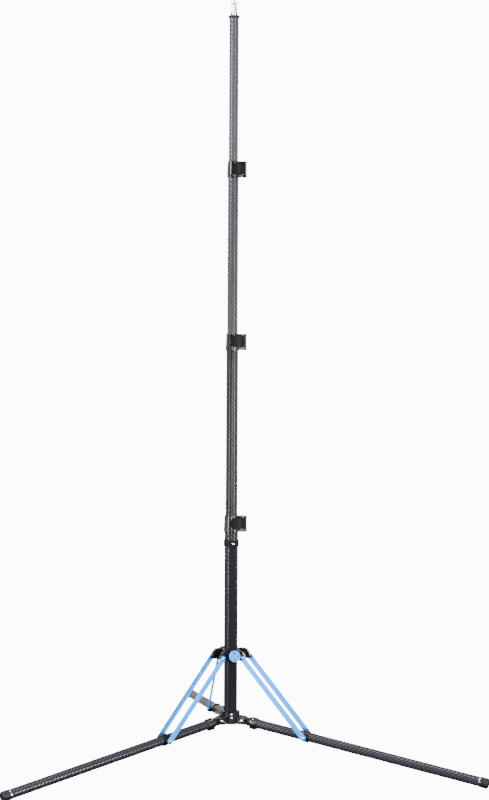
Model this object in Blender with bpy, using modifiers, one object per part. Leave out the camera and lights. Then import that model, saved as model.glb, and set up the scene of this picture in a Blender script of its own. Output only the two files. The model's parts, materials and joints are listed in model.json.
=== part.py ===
"""Reverse-folding light stand in carbon fibre: a telescopic column in four sections on three
hinged legs, with paired flat braces that run from each leg up to a locking slider.

Metres, +Z up. The origin is the centre of the hub's flat underside, on the column's axis.
Each leg lies along the local X axis of its own frame, with local Y along its hinge pin.
"""

import math

import bmesh
import bpy
from mathutils import Matrix, Vector

NAME = "light_stand"
GAP = 0.0003          # clearance between neighbouring pieces
ROUND = 24            # facets round a tube
SMALL = 12            # facets round a screw or a small hole

# Heights above the floor at rest
PIVOT_HEIGHT = 0.0948
SLIDER_HEIGHT = 0.2482
RAIL_COLLAR_HEIGHT = 0.5181
CLAMP_HEIGHTS = {"lower": 0.5648, "middle": 0.9957, "upper": 1.3997}
TOP_HEIGHT = 1.7554

# Legs
LEG_AZIMUTHS = {"back": 100.0, "left": 217.5, "right": 337.5}
LEG_TILT = math.radians(8.07)
LEG_LENGTH = 0.6063
LEG_RADIUS = 0.011
BRACE_STATION = 0.1617        # brace pivot, measured along the leg from its hinge
HINGE_RADIUS = 0.0331         # leg hinge, measured from the column's axis
FOOT_LENGTH = 0.019

# Column
TUBE_WALL = 0.001
TUBE_RADII = {"column": 0.016, "section_1": 0.014, "section_2": 0.0125, "section_3": 0.011}
TUBE_OVERLAP = 0.080

# Hub
PIVOT_Z = 0.009
HUB_HEIGHT = 0.028
HUB_RADIUS = 0.0190
EAR_RADIUS = 0.009
LUG_HALF = 0.006
EAR_THICKNESS = 0.005

# Slider and lock
SLIDER_PIVOT_RADIUS = 0.03825
LOCK_AZIMUTH = 282.5
CHEEK_INNER = 0.0120
CHEEK_OUTER = 0.0203
BUTTON_RADIUS = 0.0135
BUTTON_FACE = 0.046
BUTTON_RISE = 0.0062          # button axis above the brace pivots

# Rail
RAIL_WIDTH = 0.012
RAIL_THICKNESS = 0.0018
RAIL_COLLAR_HALF = 0.0074

# Braces and their screws
BRACE_HALF_WIDTH = 0.0065
BRACE_THICKNESS = 0.0022
SCREW_RADIUS = 0.0020
SCREW_HEAD_RADIUS = 0.0040

# Clamps
CLAMP_HALF = 0.0193
LEVER_LOW = -0.0115
LEVER_HIGH = 0.0155
LEVER_THICKNESS = 0.0045
BARREL_RADIUS = 0.0043
PIN_RADIUS = 0.0015

FLOOR_Z = PIVOT_Z - PIVOT_HEIGHT
ALONG_X = Matrix.Rotation(math.radians(90), 4, "Y")
ALONG_Y = Matrix.Rotation(math.radians(-90), 4, "X")
STAND_UP = Matrix.Rotation(math.radians(90), 4, "X")


def clear_scene():
    for obj in list(bpy.data.objects):
        bpy.data.objects.remove(obj, do_unlink=True)


def new_collection(name):
    collection = bpy.data.collections.new(name)
    bpy.context.scene.collection.children.link(collection)
    return collection


def material(name, colour, roughness, metallic):
    made = bpy.data.materials.new(name)
    made.use_nodes = True
    shader = made.node_tree.nodes["Principled BSDF"]
    shader.inputs["Base Color"].default_value = (*colour, 1.0)
    shader.inputs["Roughness"].default_value = roughness
    shader.inputs["Metallic"].default_value = metallic
    made.diffuse_color = (*colour, 1.0)
    return made


clear_scene()
PARTS = new_collection(NAME)
CUTTERS = new_collection("cutters")
MATERIALS = {
    "carbon": material("carbon", (0.060, 0.056, 0.064), 0.30, 0.0),
    "black_plastic": material("black_plastic", (0.012, 0.012, 0.014), 0.25, 0.0),
    "black_metal": material("black_metal", (0.015, 0.015, 0.018), 0.35, 0.6),
    "blue_anodised": material("blue_anodised", (0.22, 0.54, 0.86), 0.32, 0.8),
    "bright_steel": material("bright_steel", (0.80, 0.78, 0.77), 0.18, 1.0),
    "rubber": material("rubber", (0.018, 0.018, 0.024), 0.60, 0.0),
    "nylon": material("nylon", (0.05, 0.05, 0.05), 0.50, 0.0),
}


# ---------------------------------------------------------------- shapes

def add_object(name, mesh, matrix=None):
    obj = bpy.data.objects.new(name, mesh)
    PARTS.objects.link(obj)
    if matrix is not None:
        obj.matrix_world = matrix
    return obj


def turned(name, outline, matrix=None, steps=ROUND, closed=True):
    """A profile of (radius, height) points, top to bottom on its outer side, turned round Z."""
    shape = bmesh.new()
    verts = [shape.verts.new((radius, 0.0, height)) for radius, height in outline]
    for first, second in zip(verts, verts[1:]):
        shape.edges.new((first, second))
    if closed:
        shape.edges.new((verts[-1], verts[0]))
    mesh = bpy.data.meshes.new(name)
    shape.to_mesh(mesh)
    shape.free()
    obj = add_object(name, mesh, matrix)
    screw = obj.modifiers.new("turn", "SCREW")
    screw.axis = "Z"
    screw.angle = math.tau
    screw.steps = steps
    screw.render_steps = steps
    screw.use_merge_vertices = True
    screw.merge_threshold = 0.00001
    return obj


def ring(name, inner, outer, low, high, matrix=None, steps=ROUND):
    outline = [(outer, high), (outer, low), (inner, low), (inner, high)]
    return turned(name, outline, matrix, steps)


def rod(name, radius, low, high, matrix=None, steps=ROUND):
    outline = [(0.0, high), (radius, high), (radius, low), (0.0, low)]
    return turned(name, outline, matrix, steps, closed=False)


def box(name, low, high, matrix=None):
    shape = bmesh.new()
    bmesh.ops.create_cube(shape, size=1.0)
    size = Vector(high) - Vector(low)
    bmesh.ops.scale(shape, vec=size, verts=shape.verts)
    bmesh.ops.translate(shape, vec=(Vector(low) + Vector(high)) / 2, verts=shape.verts)
    mesh = bpy.data.meshes.new(name)
    shape.to_mesh(mesh)
    shape.free()
    return add_object(name, mesh, matrix)


def arc(centre, radius, start, end, count):
    """Points on an arc; the angles are in degrees."""
    points = []
    for index in range(count + 1):
        angle = math.radians(start + (end - start) * index / count)
        x = centre[0] + radius * math.cos(angle)
        y = centre[1] + radius * math.sin(angle)
        points.append((x, y))
    return points


def circle(centre, radius, count=SMALL):
    return arc(centre, radius, 0, 360, count)[:-1]


def plate(name, outlines, thickness, matrix=None):
    """A flat plate centred on local Z = 0. The first outline is its edge, the rest are holes."""
    curve = bpy.data.curves.new(name, "CURVE")
    curve.dimensions = "2D"
    curve.fill_mode = "BOTH"
    curve.extrude = thickness / 2
    for outline in outlines:
        spline = curve.splines.new("POLY")
        spline.points.add(len(outline) - 1)
        for point, (x, y) in zip(spline.points, outline):
            point.co = (x, y, 0.0, 1.0)
        spline.use_cyclic_u = True
    source = bpy.data.objects.new(name + "_curve", curve)
    PARTS.objects.link(source)
    bpy.context.view_layer.update()
    evaluated = source.evaluated_get(bpy.context.evaluated_depsgraph_get())
    mesh = bpy.data.meshes.new_from_object(evaluated)
    bpy.data.objects.remove(source, do_unlink=True)
    shape = bmesh.new()
    shape.from_mesh(mesh)
    bmesh.ops.remove_doubles(shape, verts=shape.verts, dist=0.000001)
    bmesh.ops.recalc_face_normals(shape, faces=shape.faces)
    shape.to_mesh(mesh)
    shape.free()
    mesh.name = name
    return add_object(name, mesh, matrix)


def combine(target, tool, operation):
    """Applies a Boolean of a hidden tool to the target, as a modifier."""
    PARTS.objects.unlink(tool)
    CUTTERS.objects.link(tool)
    tool.hide_render = True
    tool.display_type = "WIRE"
    step = target.modifiers.new(operation.lower(), "BOOLEAN")
    step.operation = operation
    step.solver = "EXACT"
    step.object = tool


def join(target, tool):
    combine(target, tool, "UNION")


def cut(target, tool):
    combine(target, tool, "DIFFERENCE")


def finish(obj, slot, parent=None):
    """Gives a piece its material and hangs it on the empty at its joint, where it has one."""
    obj.data.materials.clear()
    obj.data.materials.append(MATERIALS[slot])
    if parent is not None:
        world = obj.matrix_world.copy()
        obj.parent = parent
        obj.matrix_parent_inverse = parent.matrix_world.inverted()
        obj.matrix_world = world
    return obj


def empty(name, matrix):
    obj = bpy.data.objects.new(name, None)
    PARTS.objects.link(obj)
    obj.matrix_world = matrix
    obj.empty_display_size = 0.02
    bpy.context.view_layer.update()
    return obj


# ---------------------------------------------------------------- frames

def radial_frame(azimuth, radius, height, tilt=0.0):
    """Local X points outward at the azimuth and down by the tilt, local Y along a hinge pin."""
    turn = Matrix.Rotation(math.radians(azimuth), 4, "Z")
    out = Matrix.Translation((radius, 0.0, height))
    return turn @ out @ Matrix.Rotation(tilt, 4, "Y")


def leg_frame(leg):
    return radial_frame(LEG_AZIMUTHS[leg], HINGE_RADIUS, PIVOT_Z, LEG_TILT)


def slider_frame(azimuth, radius=0.0):
    return radial_frame(azimuth, radius, FLOOR_Z + SLIDER_HEIGHT)


def brace_reach():
    """The brace as a vector from its slider pivot to its leg pivot: outward, and downward."""
    out = HINGE_RADIUS + BRACE_STATION * math.cos(LEG_TILT) - SLIDER_PIVOT_RADIUS
    down = SLIDER_HEIGHT - PIVOT_HEIGHT + BRACE_STATION * math.sin(LEG_TILT)
    return out, down


def brace_frame(leg):
    out, down = brace_reach()
    height = FLOOR_Z + SLIDER_HEIGHT
    return radial_frame(LEG_AZIMUTHS[leg], SLIDER_PIVOT_RADIUS, height, math.atan2(down, out))


# ---------------------------------------------------------------- hub and column

def make_hub():
    bore = TUBE_RADII["column"] + GAP
    hub = rod("hub", HUB_RADIUS, 0.0, HUB_HEIGHT)
    for leg, azimuth in LEG_AZIMUTHS.items():
        frame = radial_frame(azimuth, HINGE_RADIUS, PIVOT_Z)
        root = HUB_RADIUS - HINGE_RADIUS - 0.0015
        edge = [(root, -EAR_RADIUS), *arc((0, 0), EAR_RADIUS, -90, 90, 12), (root, EAR_RADIUS)]
        for side in (-1, 1):
            middle = side * (LUG_HALF + GAP + EAR_THICKNESS / 2)
            place = frame @ Matrix.Translation((0, middle, 0)) @ STAND_UP
            join(hub, plate(f"hub_ear_{leg}_{side}", [edge], EAR_THICKNESS, place))
            bore_tool = rod(f"hub_ear_bore_{leg}_{side}", SCREW_RADIUS + GAP, -0.004, 0.004,
                            frame @ Matrix.Translation((0, middle, 0)) @ ALONG_Y, SMALL)
            cut(hub, bore_tool)
        block_frame = radial_frame(azimuth + 60, 0, 0)
        block = box(f"hub_block_{leg}", (0.012, -0.0088, 0.0), (0.0222, 0.0088, HUB_HEIGHT - 0.001),
                    block_frame)
        join(hub, block)
    cut(hub, rod("hub_bore", bore, 0.004, HUB_HEIGHT + 0.01))
    finish(hub, "black_metal")


def make_hub_pins():
    reach = LUG_HALF + GAP + EAR_THICKNESS
    head = reach + GAP
    for leg in LEG_AZIMUTHS:
        outline = [
            (0.0, head + 0.0018), (0.0030, head + 0.0018), (SCREW_HEAD_RADIUS, head + 0.0008),
            (SCREW_HEAD_RADIUS, head), (SCREW_RADIUS, head), (SCREW_RADIUS, -head),
            (SCREW_HEAD_RADIUS, -head), (SCREW_HEAD_RADIUS, -head - 0.0008),
            (0.0030, -head - 0.0018), (0.0, -head - 0.0018),
        ]
        place = radial_frame(LEG_AZIMUTHS[leg], HINGE_RADIUS, PIVOT_Z) @ ALONG_Y
        pin = turned(f"hub_pin_{leg}", outline, place, SMALL, closed=False)
        finish(pin, "bright_steel")


def make_column():
    radius = TUBE_RADII["column"]
    top = FLOOR_Z + CLAMP_HEIGHTS["lower"] - 0.002
    tube = ring("column_tube", radius - TUBE_WALL, radius, 0.004 + GAP, top)
    finish(tube, "carbon")

    frame = radial_frame(LOCK_AZIMUTH, 0, 0)
    inner = radius + GAP
    collar_low = FLOOR_Z + RAIL_COLLAR_HEIGHT - RAIL_COLLAR_HALF
    rail = box("column_rail", (inner, -RAIL_WIDTH / 2, HUB_HEIGHT + GAP),
               (inner + RAIL_THICKNESS, RAIL_WIDTH / 2, collar_low - GAP), frame)
    finish(rail, "black_metal")

    collar_high = collar_low + 2 * RAIL_COLLAR_HALF
    collar = rod("rail_collar", radius + 0.0021, collar_low, collar_high)
    boss = box("rail_collar_boss", (0.010, -0.0080, collar_low + 0.0003),
               (radius + 0.0042, 0.0080, collar_high - 0.0003), frame)
    join(collar, boss)
    cut(collar, rod("rail_collar_bore", inner, collar_low - 0.01, collar_high + 0.01))
    finish(collar, "black_plastic")


# ---------------------------------------------------------------- telescopic sections

def section_span(name):
    """Lowest and highest point of a section's tube."""
    ends = {
        "section_1": ("lower", "middle"),
        "section_2": ("middle", "upper"),
        "section_3": ("upper", None),
    }
    below, above = ends[name]
    low = FLOOR_Z + CLAMP_HEIGHTS[below] + CLAMP_HALF - TUBE_OVERLAP
    if above is None:
        return low, FLOOR_Z + TOP_HEIGHT - 0.0013
    return low, FLOOR_Z + CLAMP_HEIGHTS[above] - 0.002


def make_section(name, around):
    radius = TUBE_RADII[name]
    low, high = section_span(name)
    joint = empty(f"{name}_joint", Matrix.Translation((0, 0, low)))
    finish(ring(f"{name}_tube", radius - TUBE_WALL, radius, low, high), "carbon", joint)
    stem = radius - TUBE_WALL - 0.00015
    flange = TUBE_RADII[around] - TUBE_WALL - 0.00020
    outline = [
        (stem, low + 0.018), (stem, low - 0.00015), (flange, low - 0.00015),
        (flange, low - 0.008), (stem - 0.003, low - 0.008), (stem - 0.003, low + 0.018),
    ]
    finish(turned(f"{name}_guide", outline), "nylon", joint)
    return joint


def make_top(joint):
    radius = TUBE_RADII["section_3"]
    top = FLOOR_Z + TOP_HEIGHT
    bore = radius - TUBE_WALL
    cap = [
        (0.0122, top), (0.0132, top - 0.001), (0.0132, top - 0.0045), (0.0128, top - 0.0052),
        (radius + GAP, top - 0.0052), (radius + GAP, top - 0.001), (bore, top - 0.001), (bore, top),
    ]
    finish(turned("top_ring", cap), "rubber", joint)
    stud = [
        (0.0, 0.0380), (0.0026, 0.0380), (0.0032, 0.0374), (0.0032, 0.0305), (0.0072, 0.0300),
        (0.0080, 0.0292), (0.0080, 0.0268), (0.0066, 0.0250), (0.0064, 0.0078), (0.0080, 0.0060),
        (0.0084, 0.0050), (0.0084, 0.0012), (0.0097, GAP), (0.0097, -0.0250), (0.0, -0.0250),
    ]
    spigot = turned("spigot", stud, Matrix.Translation((0, 0, top)), 24, closed=False)
    finish(spigot, "bright_steel", joint)


# ---------------------------------------------------------------- clamps

def clamp_sizes(outside):
    """Lever arc centre, lever outer radius, hinge pin place and bolt place for a tube radius."""
    centre = (0.0070 - 0.4 * (0.016 - outside), 0.004)
    outer = outside + 0.0135
    pin = (centre[0] + outer - BARREL_RADIUS, 0.0)
    return centre, outer, pin, outside + 0.0058


def make_clamp(place, outside, inside, joint):
    """A flip-lock collar: its lower half holds one tube and its upper half grips the next."""
    height = FLOOR_Z + CLAMP_HEIGHTS[place]
    frame = Matrix.Translation((0, 0, height))
    pin_at, bolt_x = clamp_sizes(outside)[2:]
    top_radius = inside + 0.0022
    low_radius = outside + 0.0023
    outline = [
        (0.0, CLAMP_HALF), (top_radius, CLAMP_HALF), (low_radius - 0.0004, -CLAMP_HALF + 0.011),
        (low_radius, -CLAMP_HALF + 0.010), (low_radius, -CLAMP_HALF), (0.0, -CLAMP_HALF),
    ]
    collar = turned(f"{place}_clamp_collar", outline, frame, closed=False)
    tip = [*arc(pin_at, 0.0050, -90, 90, 8)]
    for level, low, high in (("upper", LEVER_HIGH + GAP, CLAMP_HALF),
                             ("lower", -CLAMP_HALF, LEVER_LOW - GAP)):
        start = 0.006
        edge = [(start, -0.0050), *tip, (start, 0.0050)]
        ear_at = frame @ Matrix.Translation((0, 0, (low + high) / 2))
        join(collar, plate(f"{place}_clamp_ear_{level}", [edge], high - low, ear_at))
    join(collar, box(f"{place}_clamp_back_ear", (0.006, 0.0040, -CLAMP_HALF + 0.0002),
                     (outside + 0.011, 0.0112, LEVER_LOW - 0.0005), frame))
    bore = [
        (0.0, 0.03), (inside + GAP, 0.03), (inside + GAP, -0.0015),
        (outside + GAP, -0.0015), (outside + GAP, -0.03), (0.0, -0.03),
    ]
    cut(collar, turned(f"{place}_clamp_bore", bore, frame, closed=False))
    cut(collar, box(f"{place}_clamp_slit", (0.008, 0.0052, -0.03), (0.045, 0.0064, 0.03), frame))
    pin_frame = frame @ Matrix.Translation((pin_at[0], pin_at[1], 0))
    cut(collar, rod(f"{place}_clamp_pin_bore", PIN_RADIUS + GAP, -0.03, 0.03, pin_frame, SMALL))
    bolt_frame = frame @ Matrix.Translation((bolt_x, 0, -0.0155)) @ ALONG_Y
    cut(collar, rod(f"{place}_clamp_bolt_bore", 0.0021, -0.02, 0.02, bolt_frame, SMALL))
    finish(collar, "black_plastic", joint)

    pin = rod(f"{place}_clamp_pin", PIN_RADIUS, -0.0190, 0.0190, pin_frame, SMALL)
    finish(pin, "bright_steel", joint)
    bolt = [
        (0.0, 0.0125), (0.0018, 0.0125), (0.0018, -0.0053), (0.0038, -0.0053),
        (0.0038, -0.0080), (0.0030, -0.0086), (0.0, -0.0086),
    ]
    bolt_piece = turned(f"{place}_clamp_bolt", bolt, bolt_frame, SMALL, closed=False)
    finish(bolt_piece, "bright_steel", joint)


def make_lever(place, outside):
    """The flip lever: a curved paddle round the collar's front, hinged on an upright pin."""
    height = FLOOR_Z + CLAMP_HEIGHTS[place]
    centre, outer, pin_at = clamp_sizes(outside)[:3]
    joint = empty(f"{place}_lever_joint", Matrix.Translation((*pin_at, height)))
    middle = (LEVER_LOW + LEVER_HIGH) / 2
    tall = LEVER_HIGH - LEVER_LOW
    at = Matrix.Translation((0, 0, height + middle))
    end = -110
    band = [*arc(centre, outer, -10, end, 16), *arc(centre, outer - LEVER_THICKNESS, end, -10, 16)]
    lever = plate(f"{place}_clamp_lever", [band], tall, at)
    view = math.radians(-100)
    across = Vector((math.cos(view + math.pi / 2), math.sin(view + math.pi / 2)))
    far = Vector(arc(centre, outer, end, end, 1)[0]).dot(across)
    half = tall / 2
    stadium = [(0.05, half + 0.001), *arc((far + half, 0), half, 90, 270, 16), (0.05, -half - 0.001)]
    face = Matrix.Rotation(view + math.pi / 2, 4, "Z") @ STAND_UP
    keeper = plate(f"{place}_lever_outline", [stadium], 0.12, at @ face)
    combine(lever, keeper, "INTERSECT")
    barrel_at = Matrix.Translation((*pin_at, height))
    join(lever, rod(f"{place}_lever_barrel", BARREL_RADIUS, LEVER_LOW, LEVER_HIGH, barrel_at, 20))
    cut(lever, rod(f"{place}_lever_bore", PIN_RADIUS + GAP, -0.03, 0.03, barrel_at, SMALL))
    finish(lever, "black_plastic", joint)


# ---------------------------------------------------------------- slider, lock and braces

def make_slider(joint):
    frame = slider_frame(0)
    slider = rod("slider", 0.0215, -0.0080, 0.0160, frame)
    cheek = [
        (0.0150, -0.0065), (SLIDER_PIVOT_RADIUS, -0.0065),
        *arc((SLIDER_PIVOT_RADIUS, 0), 0.0065, -70, 10, 5),
        *arc((0.0250, -0.0015), 0.0190, 18, 84, 8), (0.0150, 0.0174),
    ]
    for leg, azimuth in LEG_AZIMUTHS.items():
        for side in (-1, 1):
            middle = side * (CHEEK_INNER + CHEEK_OUTER) / 2
            place = slider_frame(azimuth) @ Matrix.Translation((0, middle, 0)) @ STAND_UP
            thick = CHEEK_OUTER - CHEEK_INNER
            join(slider, plate(f"slider_cheek_{leg}_{side}", [cheek], thick, place))
            hole = slider_frame(azimuth, SLIDER_PIVOT_RADIUS) @ Matrix.Translation((0, middle, 0))
            cut(slider, rod(f"slider_hole_{leg}_{side}", SCREW_RADIUS + GAP, -0.01, 0.01,
                            hole @ ALONG_Y, SMALL))
    lock = slider_frame(LOCK_AZIMUTH) @ Matrix.Translation((0, 0, BUTTON_RISE)) @ ALONG_X
    join(slider, rod("slider_boss", 0.0093, 0.0183, BUTTON_FACE - 0.0080, lock, 20))
    cut(slider, rod("slider_bore", TUBE_RADII["column"] + GAP, -0.03, 0.03, frame))
    groove = box("slider_groove", (0.0, -RAIL_WIDTH / 2 - 0.0004, -0.03),
                 (TUBE_RADII["column"] + RAIL_THICKNESS + 3 * GAP, RAIL_WIDTH / 2 + 0.0004, 0.03),
                 slider_frame(LOCK_AZIMUTH))
    cut(slider, groove)
    cut(slider, rod("slider_stem_bore", 0.0028, 0.0, 0.06, lock, SMALL))
    cut(slider, rod("slider_spring_bore", 0.0060, 0.026, 0.06, lock, 16))
    finish(slider, "black_metal", joint)


def make_lock(slider_joint):
    lock = slider_frame(LOCK_AZIMUTH) @ Matrix.Translation((0, 0, BUTTON_RISE)) @ ALONG_X
    joint = empty("button_joint", lock)
    face = BUTTON_FACE
    outline = [
        (0.0, face), (BUTTON_RADIUS - 0.0008, face), (BUTTON_RADIUS, face - 0.0008),
        (BUTTON_RADIUS, face - 0.0040), (BUTTON_RADIUS - 0.0006, face - 0.0045),
        (0.0025, face - 0.0045), (0.0025, 0.0225), (0.0, 0.0225),
    ]
    button = turned("lock_button", outline, lock, ROUND, closed=False)
    for side in (-1, 1):
        hole = lock @ Matrix.Translation((side * 0.008, 0, face))
        cut(button, rod(f"button_hole_{side}", 0.0015, -0.002, 0.002, hole, SMALL))
    finish(button, "blue_anodised", joint)

    turns, per_turn, wire, coil = 4, 10, 0.0004, 0.0044
    start, length = 0.0266, 0.0088
    curve = bpy.data.curves.new("button_spring", "CURVE")
    curve.dimensions = "3D"
    curve.bevel_depth = wire
    curve.bevel_resolution = 1
    curve.use_fill_caps = True
    spline = curve.splines.new("POLY")
    count = turns * per_turn + 1
    spline.points.add(count - 1)
    for index, point in enumerate(spline.points):
        angle = math.tau * index / per_turn
        rise = start + length * index / (count - 1)
        point.co = (coil * math.cos(angle), coil * math.sin(angle), rise, 1.0)
    spring = bpy.data.objects.new("button_spring", curve)
    PARTS.objects.link(spring)
    spring.matrix_world = lock
    finish(spring, "bright_steel", slider_joint)


def screw_outline(shank, head):
    """A pan-head screw seen from its inner end at height zero to the top of its head."""
    return [
        (0.0, shank + head), (0.0028, shank + head), (SCREW_HEAD_RADIUS, shank + head - 0.0012),
        (SCREW_HEAD_RADIUS, shank), (SCREW_RADIUS, shank), (SCREW_RADIUS, 0.0), (0.0, 0.0),
    ]


def make_braces(leg, slider_joint):
    length = math.hypot(*brace_reach())
    frame = brace_frame(leg)
    joint = empty(f"brace_{leg}_joint", frame)
    edge = [
        *arc((length, 0), BRACE_HALF_WIDTH, -90, 90, 10),
        *arc((0, 0), BRACE_HALF_WIDTH, 90, 270, 10),
    ]
    holes = [circle((0, 0), SCREW_RADIUS + GAP), circle((length, 0), SCREW_RADIUS + GAP)]
    inner = CHEEK_OUTER + GAP
    outer = inner + BRACE_THICKNESS
    for number, side in ((1, -1), (2, 1)):
        lay = Matrix.Translation((0, side * (inner + outer) / 2, 0)) @ STAND_UP
        finish(plate(f"brace_{leg}_{number}", [edge, *holes], BRACE_THICKNESS, frame @ lay),
               "blue_anodised", joint)
        outward = ALONG_Y if side > 0 else ALONG_Y @ Matrix.Rotation(math.pi, 4, "X")
        shank = outer + GAP - 0.0140
        upper = frame @ Matrix.Translation((0, side * 0.0140, 0)) @ outward
        screw = turned(f"slider_screw_{leg}_{number}", screw_outline(shank, 0.0026), upper, SMALL,
                       closed=False)
        finish(screw, "bright_steel", slider_joint)
        lower = frame @ Matrix.Translation((length, side * inner, 0)) @ outward
        screw = turned(f"brace_screw_{leg}_{number}", screw_outline(BRACE_THICKNESS + GAP, 0.0036),
                       lower, SMALL, closed=False)
        finish(screw, "bright_steel", joint)


# ---------------------------------------------------------------- legs

def make_leg(leg):
    frame = leg_frame(leg)
    joint = empty(f"leg_{leg}_joint", frame)
    along = frame @ ALONG_X
    bore = LEG_RADIUS + GAP
    tube_start = 0.0240
    sleeve_end = 0.0370
    end = LEG_LENGTH
    finish(ring(f"leg_{leg}_tube", LEG_RADIUS - TUBE_WALL, LEG_RADIUS, tube_start + GAP,
                end - 0.004, along), "carbon", joint)

    body = [
        (0.0, sleeve_end), (0.0128, sleeve_end), (0.0132, sleeve_end - 0.0008),
        (0.0132, 0.0215), (0.0090, 0.0135), (0.0, 0.0135),
    ]
    knuckle = turned(f"leg_{leg}_knuckle", body, along, closed=False)
    lug = [*arc((0, 0), EAR_RADIUS - 0.0004, 90, 270, 12), (0.0180, -0.0088), (0.0180, 0.0086)]
    join(knuckle, plate(f"leg_{leg}_lug", [lug], 2 * LUG_HALF, frame @ STAND_UP))
    step = box(f"leg_{leg}_step", (0.0200, -0.0070, -0.0142), (sleeve_end - 0.0004, 0.0070, -0.006),
               frame)
    join(knuckle, step)
    cut(knuckle, rod(f"leg_{leg}_socket", bore, tube_start, 0.06, along))
    pin_bore = rod(f"leg_{leg}_pin_bore", SCREW_RADIUS + GAP, -0.01, 0.01, frame @ ALONG_Y, SMALL)
    cut(knuckle, pin_bore)
    finish(knuckle, "black_metal", joint)

    half = 0.0076
    bracket_frame = frame @ Matrix.Translation((BRACE_STATION, 0, 0))
    bracket = rod(f"leg_{leg}_bracket", 0.0134, -half, half, bracket_frame @ ALONG_X)
    for side in (-1, 1):
        boss_at = bracket_frame @ Matrix.Translation((0, side * 0.0160, 0)) @ ALONG_Y
        reach = CHEEK_OUTER - 0.0160
        join(bracket, rod(f"leg_{leg}_boss_{side}", 0.0070, -reach, reach, boss_at, 20))
        cut(bracket, rod(f"leg_{leg}_boss_bore_{side}", SCREW_RADIUS + GAP, -0.002, 0.020,
                         boss_at @ Matrix.Rotation(math.radians(90 - 90 * side), 4, "X"), SMALL))
    cut(bracket, rod(f"leg_{leg}_bracket_bore", bore, -0.02, 0.02, bracket_frame @ ALONG_X))
    finish(bracket, "black_plastic", joint)

    wall = 0.0009
    outer = bore + wall
    foot = [
        (0.0, end), (0.0080, end), (0.0104, end - 0.0010), (outer - 0.0003, end - 0.0026),
        (outer, end - 0.0045), (outer, end - FOOT_LENGTH), (bore, end - FOOT_LENGTH),
        (bore, end - 0.0036), (0.0, end - 0.0036),
    ]
    finish(turned(f"leg_{leg}_foot", foot, along, closed=False), "rubber", joint)


# ---------------------------------------------------------------- assembly

def build():
    make_hub()
    make_hub_pins()
    make_column()
    radii = TUBE_RADII
    section_1 = make_section("section_1", "column")
    section_2 = make_section("section_2", "section_1")
    section_3 = make_section("section_3", "section_2")
    make_top(section_3)
    make_clamp("lower", radii["column"], radii["section_1"], None)
    make_clamp("middle", radii["section_1"], radii["section_2"], section_1)
    make_clamp("upper", radii["section_2"], radii["section_3"], section_2)
    make_lever("lower", radii["column"])
    make_lever("middle", radii["section_1"])
    make_lever("upper", radii["section_2"])
    slider_joint = empty("slider_joint", slider_frame(0))
    make_slider(slider_joint)
    make_lock(slider_joint)
    for leg in LEG_AZIMUTHS:
        make_braces(leg, slider_joint)
        make_leg(leg)


build()
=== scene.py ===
"""Looks of the reverse-folding carbon-fibre stand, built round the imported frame."""

import json
import math

import bmesh
import bpy
from mathutils import Matrix, Vector


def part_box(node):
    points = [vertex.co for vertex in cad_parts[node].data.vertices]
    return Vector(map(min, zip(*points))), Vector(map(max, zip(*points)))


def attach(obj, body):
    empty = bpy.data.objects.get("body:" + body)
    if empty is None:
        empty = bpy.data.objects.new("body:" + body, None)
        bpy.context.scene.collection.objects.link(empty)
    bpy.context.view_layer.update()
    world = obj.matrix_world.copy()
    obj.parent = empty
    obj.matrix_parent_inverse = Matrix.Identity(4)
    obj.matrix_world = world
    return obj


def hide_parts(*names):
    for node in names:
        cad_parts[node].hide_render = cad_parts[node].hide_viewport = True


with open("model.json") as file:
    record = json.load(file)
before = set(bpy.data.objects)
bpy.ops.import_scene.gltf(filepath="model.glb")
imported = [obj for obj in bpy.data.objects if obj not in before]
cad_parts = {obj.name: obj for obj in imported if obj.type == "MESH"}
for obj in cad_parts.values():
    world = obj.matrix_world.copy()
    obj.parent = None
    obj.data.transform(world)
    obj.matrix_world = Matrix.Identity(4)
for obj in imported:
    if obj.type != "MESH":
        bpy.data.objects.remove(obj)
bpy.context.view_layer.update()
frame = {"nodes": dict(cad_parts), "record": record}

GAP = 0.0003            # clearance between neighbouring pieces
FINE = 96               # steps round a large turned piece
SMALL = 32              # steps round a small one
PAST = 0.03             # how far a cutting tool reaches beyond what it cuts

# Sizes that the frame's boxes and joints don't give, in metres
TUBE_WALL = 0.001
TUBE_RADII = {"column": 0.016, "section_1": 0.014, "section_2": 0.0125, "section_3": 0.011}
LEG_RADIUS = 0.011
LEG_TILT = math.radians(8.07)       # of a leg below level, when it is down
LEG_LENGTH = 0.6063                 # from the hinge to the end of the foot
LEG_TUBE_START = 0.0240             # from the hinge
BRACE_STATION = 0.1617              # from the hinge to the lower brace pivot, along the leg
LOCK_AZIMUTH = 282.5                # of the rail and the lock, in degrees
PIVOT_BORE = 0.0023
HUB_RADIUS = 0.0190
HUB_HEIGHT = 0.028
BLOCK_FRONT = 0.0222                # of the flat blocks between the hub's ears
BLOCK_HALF = 0.0088
EAR_RADIUS = 0.009
EAR_THICKNESS = 0.005
LUG_HALF = 0.006
CHEEK_INNER = 0.0120
CHEEK_OUTER = 0.0203
BRACE_HALF_WIDTH = 0.0065
BRACE_THICKNESS = 0.0022
BUTTON_RADIUS = 0.0135
BUTTON_FACE = 0.046                 # from the column's axis
BUTTON_RISE = 0.0062                # above the slider's pivots
BUTTON_HOLE_OUT = 0.008
RAIL_WIDTH = 0.012
RAIL_THICKNESS = 0.0018
CLAMP_HALF = 0.0193
LEVER_LOW = -0.0115
LEVER_HIGH = 0.0155
LEVER_THICKNESS = 0.0045
BARREL_RADIUS = 0.0043
LEVER_PIN_RADIUS = 0.0015
BOLT_HEIGHT = -0.0155
SLEEVE_RADIUS = 0.0132
SLEEVE_START = 0.0135
SLEEVE_END = 0.0370
BRACKET_HALF = 0.0076
FOOT_WALL = 0.0009
FOOT_LENGTH = 0.019

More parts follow.
